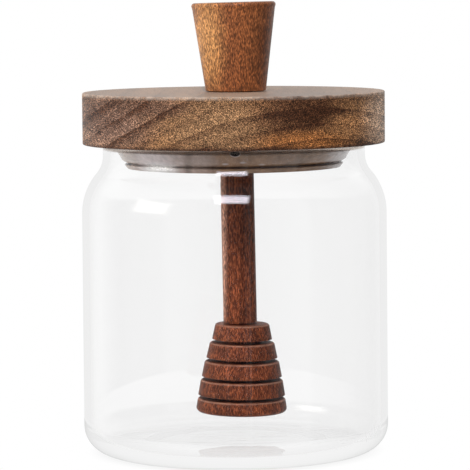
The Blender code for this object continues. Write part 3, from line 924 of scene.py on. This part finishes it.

# Each zone: its centre, its size, the shade it adds, its tint and the tint's strength. Some are painted
# light
LID_ZONES = (
    ((-0.006, -0.049, 0.1090), (0.024, 0.05, 0.016), -0.05, (0.275, 0.150, 0.070, 1.0), 0.9),
    ((0.020, -0.045, 0.1145), (0.020, 0.05, 0.011), 0.55, (0.20, 0.085, 0.040, 1.0), 0.6),
    ((0.022, -0.045, 0.1035), (0.020, 0.05, 0.006), -0.15, (0.38, 0.14, 0.038, 1.0), 0.8),
    ((0.040, -0.030, 0.1090), (0.016, 0.05, 0.006), -0.30, (0.40, 0.19, 0.075, 1.0), 0.8),
    ((-0.042, -0.030, 0.1095), (0.024, 0.05, 0.014), 0.34, (0.26, 0.160, 0.120, 1.0), 0.8),
    ((-0.026, -0.045, 0.1150), (0.016, 0.05, 0.005), 0.35, (0.20, 0.12, 0.09, 1.0), 0.6),
    # Painted sheen at the right end of the lid's side
    ((0.048, -0.012, 0.1090), (0.010, 0.06, 0.014), -0.25, (0.46, 0.30, 0.195, 1.0), 0.9),
    # Painted shadow along the lid's lower edge
    ((0.0, -0.040, 0.1008), (0.120, 0.10, 0.0020), 0.6, (0.10, 0.055, 0.035, 1.0), 0.7),
)
KNOB_ZONES = (
    # Painted golden highlight down the knob's left side
    ((-0.0095, -0.010, 0.1330), (0.0095, 0.02, 0.024), -0.25, (0.68, 0.33, 0.105, 1.0), 0.9),
    # Painted shade down the knob's right side
    ((0.0110, -0.008, 0.1330), (0.008, 0.02, 0.022), 0.35, (0.30, 0.12, 0.045, 1.0), 0.6),
)
STICK_ZONES = (
    # Painted sheen down the stick's left side
    ((-0.0043, -0.002, 0.070), (0.0024, 0.008, 0.045), -0.25, (0.50, 0.27, 0.185, 1.0), 0.85),
)

# Each zone of the seal: its centre, its size, its tint and the tint's strength. All are painted light
SEAL_ZONES = (
    # Painted reflection on the seal's left: a bright part, its paler edge and two darker bands in it
    ((-0.0130, -0.036, 0.0985), (0.010, 0.03, 0.02), (0.66, 0.52, 0.46, 1.0), 0.70),
    ((-0.0250, -0.028, 0.0985), (0.012, 0.03, 0.02), (0.92, 0.80, 0.79, 1.0), 0.95),
    ((-0.0318, -0.018, 0.0985), (0.0022, 0.03, 0.02), (0.52, 0.40, 0.34, 1.0), 0.6),
    ((-0.0143, -0.035, 0.0985), (0.0018, 0.03, 0.02), (0.30, 0.23, 0.20, 1.0), 0.6),
    # Painted sheen at the seal's right end
    ((0.036, -0.018, 0.0985), (0.009, 0.03, 0.02), (0.78, 0.66, 0.62, 1.0), 0.95),
    # Painted highlight on the bead at the left
    ((-0.0245, -0.0265, 0.0940), (0.010, 0.012, 0.0036), (1.0, 0.98, 0.97, 1.0), 1.0),
    # Painted glints: small pale spots below the lid
    ((-0.0027, -0.037, 0.0965), (0.0014, 0.02, 0.0005), (0.95, 0.85, 0.80, 1.0), 0.6),
    ((0.0028, -0.037, 0.0970), (0.0014, 0.02, 0.0005), (0.95, 0.85, 0.80, 1.0), 0.45),
    ((0.0087, -0.036, 0.0961), (0.0014, 0.02, 0.0005), (0.95, 0.85, 0.80, 1.0), 0.45),
)

lid_wood = wood_material("lid_wood", wood_groups, CROSS_GRAIN, (0.020, 0.0, 0.027), {
    "Light Wood": (0.240, 0.117, 0.048, 1.0),
    "Dark Wood": (0.055, 0.021, 0.009, 1.0),
    "Ring Spacing": 0.0052,
    "Ring Contrast": 0.6,
    "Fibre Contrast": 0.6,
    "Speck Size": 0.00021,
    "Speck Length": 0.08,
    "Speck Contrast": 1.5,
    "Pore Depth": 0.3,
    "Wander": 0.006,
    "Seed": 3.0,
}, relief=0.00006, specular=0.2, highlight_and_sheen_tint=(0.70, 0.58, 0.48, 1.0), zones=LID_ZONES)
knob_wood = wood_material("knob_wood", wood_groups, LONG_GRAIN, (0.018, 0.012, 0.0), {
    "Light Wood": (0.35, 0.112, 0.032, 1.0),
    "Dark Wood": (0.11, 0.032, 0.010, 1.0),
    "Ring Spacing": 0.0040,
    "Ring Contrast": 0.05,
    "Fibre Contrast": 0.45,
    "Speck Size": 0.00024,
    "Speck Length": 0.2,
    "Speck Contrast": 0.85,
    "Pore Depth": 0.3,
    "Wander": 0.003,
    "Seed": 7.0,
}, relief=0.00005, specular=0.4, highlight_and_sheen_tint=(0.50, 0.34, 0.24, 1.0), zones=KNOB_ZONES)
dipper_wood = wood_material("dipper_wood", wood_groups, LONG_GRAIN, (0.020, 0.016, 0.0), {
    "Light Wood": (0.160, 0.040, 0.013, 1.0),
    "Dark Wood": (0.038, 0.009, 0.004, 1.0),
    "Ring Spacing": 0.0036,
    "Ring Contrast": 0.25,
    "Fibre Contrast": 0.8,
    "Speck Size": 0.00026,
    "Speck Length": 0.2,
    "Speck Contrast": 1.0,
    "Pore Depth": 0.4,
    "Wander": 0.003,
    "Seed": 11.0,
}, relief=0.00005, specular=0.15, highlight_and_sheen_tint=(0.40, 0.21, 0.14, 1.0), zones=STICK_ZONES)

dress(make_jar(), glass_material(wood_groups[1]), ["glass_jar"])
dress(make_lid(), lid_wood, ["lid"])
dress(make_seal(), silicone_material(wood_groups[1], SEAL_ZONES), ["seal"])
dress(make_knob(), knob_wood, ["knob"])
dress(make_stick(), dipper_wood, ["stick"])
dress(make_head(), dipper_wood, ["dipper_head"])

make_world()
make_floor()
softbox(
    "left_softbox", azimuth=-68, elevation=19, distance=1.2, width=0.80, height=0.50,
    power=6.0, colour=(1.0, 0.97, 0.92), core=0.15,
)
softbox(
    "front_softbox", azimuth=-2, elevation=40, distance=1.3, width=0.60, height=0.36,
    power=8.5, colour=(0.92, 0.90, 1.0), core=0.7,
)
bpy.context.scene.view_settings.view_transform = "Standard"
